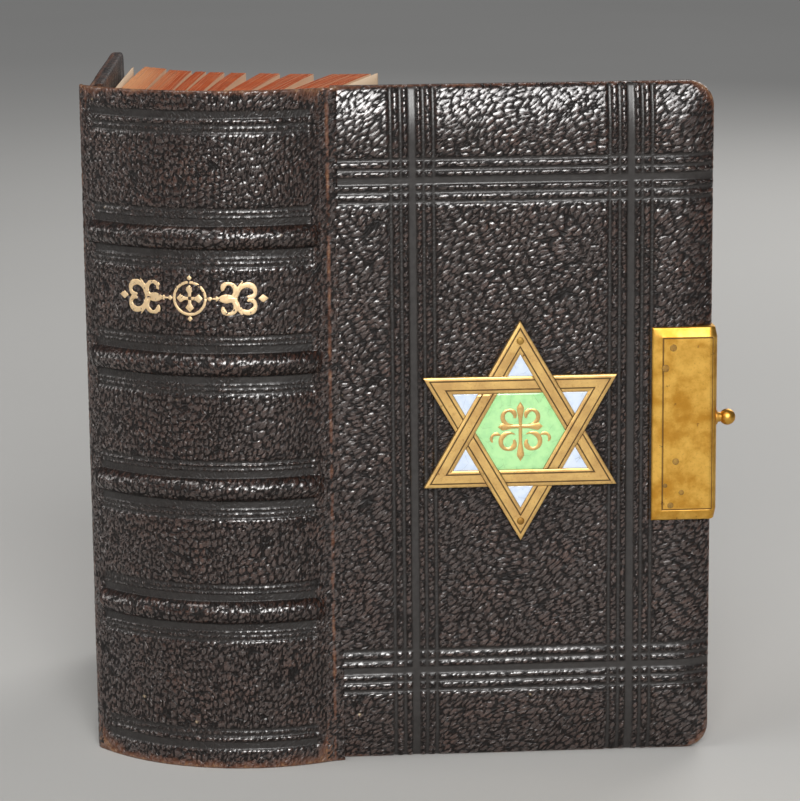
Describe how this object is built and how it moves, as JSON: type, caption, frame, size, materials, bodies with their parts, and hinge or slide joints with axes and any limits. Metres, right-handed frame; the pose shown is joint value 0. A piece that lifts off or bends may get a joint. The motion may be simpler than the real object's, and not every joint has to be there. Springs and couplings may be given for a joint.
{
  "type": "clasped bible",
  "caption": "Small leather-bound bible on its tail, standing ajar: round spine with raised bands, tooled covers, brass and enamel star, fore-edge clasp.",
  "frame": {"origin": "middle of the spine's tail edge, on the surface the book stands on", "axes": "+Z from tail to head, -Y is the way the spine faces, +X is the front cover's side"},
  "size_m": [0.1613, 0.148, 0.15],
  "materials": {
    "leather": "glossy pebbled morocco",
    "board": "matte",
    "brass": "aged satin",
    "gilt": "gold leaf stamping",
    "white_enamel": "gloss",
    "green_enamel": "gloss",
    "page_edges": "stained edges, matte",
    "endpaper": "matte",
    "silk": "matte"
  },
  "bodies": {
    "spine": {"spine_leather": "leather", "spine_lining": "endpaper", "band_core_1": "board", "band_core_2": "board", "band_core_3": "board", "band_core_4": "board", "head_endband": "silk", "tail_endband": "silk", "gilt_ornament": "gilt"},
    "front_cover": {"front_board": "board", "front_leather": "leather", "front_pastedown": "endpaper", "star_plate": "brass", "star_white_enamel": "white_enamel", "star_green_enamel": "green_enamel", "star_cross": "brass", "star_nails": "brass", "clasp_front_plate": "brass", "clasp_front_rivets": "brass", "catch_peg": "brass"},
    "front_flyleaf": {"front_flyleaf": "endpaper"},
    "back_flyleaf": {"back_flyleaf": "endpaper"},
    "back_cover": {"back_board": "board", "back_leather": "leather", "back_pastedown": "endpaper", "clasp_back_plate": "brass", "clasp_back_rivets": "brass", "clasp_hinge_pin": "brass"},
    "clasp_arm": {"clasp_arm": "brass"},
    "leaves_1": {"clump_1": "page_edges"},
    "leaves_2": {"clump_2": "page_edges"},
    "leaves_3": {"clump_3": "page_edges"},
    "leaves_4": {"clump_4": "page_edges"},
    "leaves_5": {"clump_5": "page_edges"},
    "leaves_6": {"clump_6": "page_edges"},
    "leaves_7": {"clump_7": "page_edges"},
    "leaves_8": {"clump_8": "page_edges"}
  },
  "joints": [
    {"name": "front_cover_open", "type": "hinge", "parent": "spine", "child": "front_cover", "pos_m": [0.0275, 0.00955, 0.075], "axis": [0, 0, -1], "range_deg": [-74, 51]},
    {"name": "front_flyleaf_turn", "type": "hinge", "parent": "spine", "child": "front_flyleaf", "pos_m": [0.0219, 0.00955, 0.075], "axis": [0, 0, -1], "range_deg": [-1.21, 0.84]},
    {"name": "clump_1_turn", "type": "hinge", "parent": "spine", "child": "leaves_1", "pos_m": [0.01685, 0.01155, 0.075], "axis": [0, 0, -1], "range_deg": [-0.41, 0.29]},
    {"name": "clump_2_turn", "type": "hinge", "parent": "spine", "child": "leaves_2", "pos_m": [0.00935, 0.01155, 0.075], "axis": [0, 0, -1], "range_deg": [-2.29, 3.32]},
    {"name": "clump_3_turn", "type": "hinge", "parent": "spine", "child": "leaves_3", "pos_m": [0.0038, 0.01155, 0.075], "axis": [0, 0, -1], "range_deg": [-3.74, 5.42]},
    {"name": "clump_4_turn", "type": "hinge", "parent": "spine", "child": "leaves_4", "pos_m": [-0.0008, 0.01155, 0.075], "axis": [0, 0, -1], "range_deg": [-5.53, 8.01]},
    {"name": "clump_5_turn", "type": "hinge", "parent": "spine", "child": "leaves_5", "pos_m": [-0.0047, 0.01155, 0.075], "axis": [0, 0, -1], "range_deg": [-6.42, 9.32]},
    {"name": "clump_6_turn", "type": "hinge", "parent": "spine", "child": "leaves_6", "pos_m": [-0.0081, 0.01155, 0.075], "axis": [0, 0, -1], "range_deg": [-6.84, 9.92]},
    {"name": "clump_7_turn", "type": "hinge", "parent": "spine", "child": "leaves_7", "pos_m": [-0.01245, 0.01155, 0.075], "axis": [0, 0, -1], "range_deg": [-7.32, 10.61]},
    {"name": "clump_8_turn", "type": "hinge", "parent": "spine", "child": "leaves_8", "pos_m": [-0.0275, 0.00955, 0.075], "axis": [0, 0, -1], "range_deg": [-7.73, 11.21]},
    {"name": "back_cover_open", "type": "hinge", "parent": "leaves_8", "child": "back_cover", "pos_m": [-0.0275, 0.00955, 0.075], "axis": [0, 0, 1], "range_deg": [-2.8, 125]},
    {"name": "back_flyleaf_turn", "type": "hinge", "parent": "leaves_8", "child": "back_flyleaf", "pos_m": [-0.02201, 0.01064, 0.075], "axis": [0, 0, 1], "range_deg": [-1.41, 62.51]},
    {"name": "clasp_arm_swing", "type": "hinge", "parent": "back_cover", "child": "clasp_arm", "pos_m": [-0.04667, 0.09428, 0.0758], "axis": [0, 0, 1], "range_deg": [-55, 70]}
  ],
  "couplings": [
    {"joint": "front_flyleaf_turn", "follows": "front_cover_open", "ratio": 0.016216},
    {"joint": "clump_1_turn", "follows": "front_cover_open", "ratio": 0.005405},
    {"joint": "clump_2_turn", "follows": "front_cover_open", "ratio": -0.044595},
    {"joint": "clump_3_turn", "follows": "front_cover_open", "ratio": -0.072973},
    {"joint": "clump_4_turn", "follows": "front_cover_open", "ratio": -0.10811},
    {"joint": "clump_5_turn", "follows": "front_cover_open", "ratio": -0.12568},
    {"joint": "clump_6_turn", "follows": "front_cover_open", "ratio": -0.13378},
    {"joint": "clump_7_turn", "follows": "front_cover_open", "ratio": -0.14324},
    {"joint": "clump_8_turn", "follows": "front_cover_open", "ratio": -0.15135},
    {"joint": "back_flyleaf_turn", "follows": "back_cover_open", "ratio": 0.5}
  ]
}
